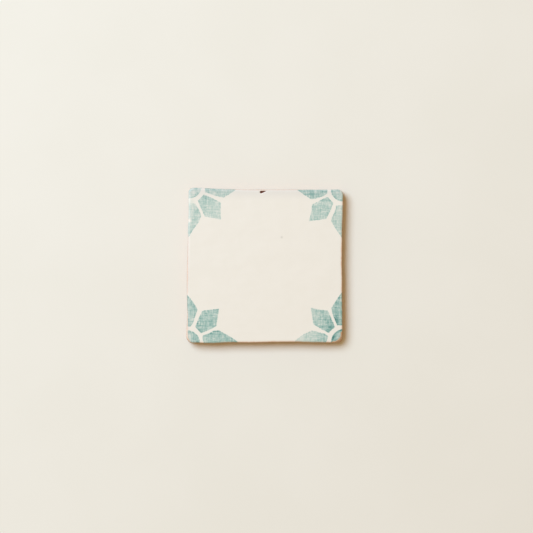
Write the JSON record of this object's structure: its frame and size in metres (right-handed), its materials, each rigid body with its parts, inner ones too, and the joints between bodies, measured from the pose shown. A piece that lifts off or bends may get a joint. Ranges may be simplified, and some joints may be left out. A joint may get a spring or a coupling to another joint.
{
  "type": "glazed tile",
  "caption": "Square handmade terracotta tile with a pillowed, glazed face painted with a quarter rosette in each corner, and a flat bare back.",
  "frame": {"origin": "middle of the outline's box, on the flat back that the tile is bedded on", "axes": "+Z out of the glazed face, +X to the right and +Y to the upper edge of the tile as pictured"},
  "size_m": [0.1314, 0.1305, 0.01],
  "materials": {
    "glazed_clay": "satin warm white glaze with pale teal painted corners on the face, bare matt terracotta on the sides and back"
  },
  "bodies": {
    "root": {"tile": "glazed_clay"}
  },
  "joints": []
}
